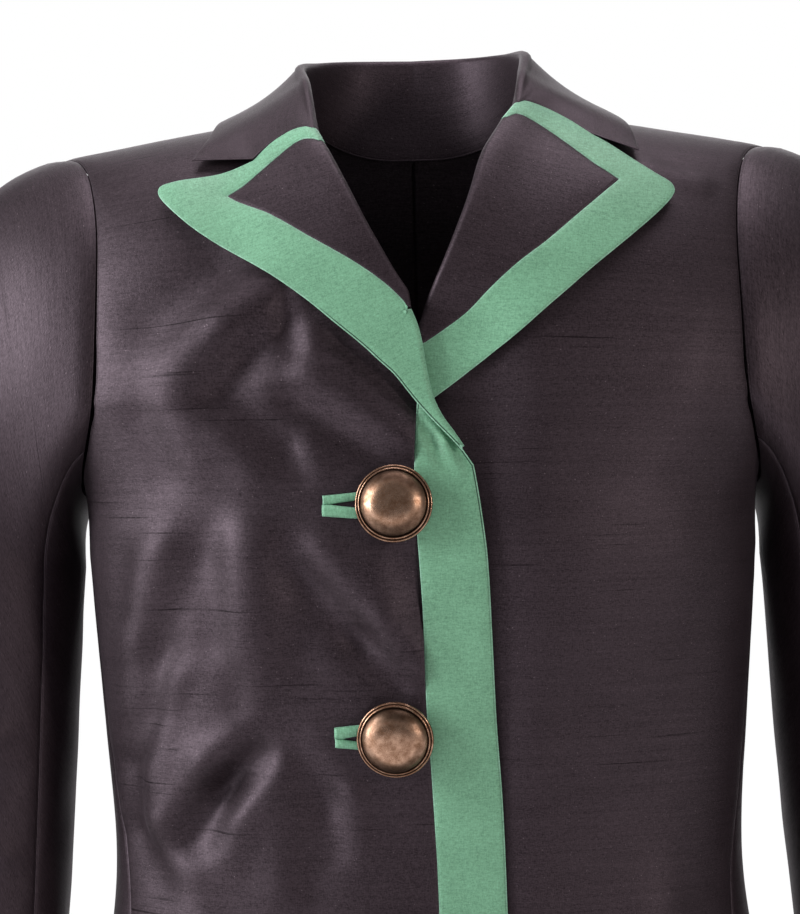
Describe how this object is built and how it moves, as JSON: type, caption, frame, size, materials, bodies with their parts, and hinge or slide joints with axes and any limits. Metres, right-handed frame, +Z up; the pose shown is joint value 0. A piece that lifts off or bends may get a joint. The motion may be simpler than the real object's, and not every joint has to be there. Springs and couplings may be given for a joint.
{
  "type": "blazer",
  "caption": "Worn, hollow single-breasted jacket with wide notched lapels edged by contrast bands, a front band, bound buttonholes, domed buttons and long sleeves.",
  "frame": {"origin": "on the centre plane and the shoulder line, level with the sides of the neck, where a wearer's shoulders carry the jacket", "axes": "+X to the wearer's left arm, -Y out of the front, +Z up the body"},
  "size_m": [0.5882, 0.2686, 0.6494],
  "materials": {
    "silk_dark": "dark aubergine-brown slubbed silk, soft sheen",
    "silk_green": "green slubbed silk, satin sheen",
    "antique_brass": "antiqued, brushed, dark in the recesses"
  },
  "bodies": {
    "root": {"front_right": "silk_dark", "front_left": "silk_dark", "front_band": "silk_green", "lapel_right": "silk_dark", "lapel_left": "silk_dark", "lapel_band_right": "silk_green", "lapel_band_left": "silk_green", "collar": "silk_dark", "side_right": "silk_dark", "side_left": "silk_dark", "back_right": "silk_dark", "back_left": "silk_dark", "sleeve_upper_right": "silk_dark", "sleeve_upper_left": "silk_dark", "sleeve_under_right": "silk_dark", "sleeve_under_left": "silk_dark", "buttonhole_1": "silk_green", "buttonhole_2": "silk_green", "buttonhole_3": "silk_green", "button_1": "antique_brass", "button_2": "antique_brass", "button_3": "antique_brass"}
  },
  "joints": []
}
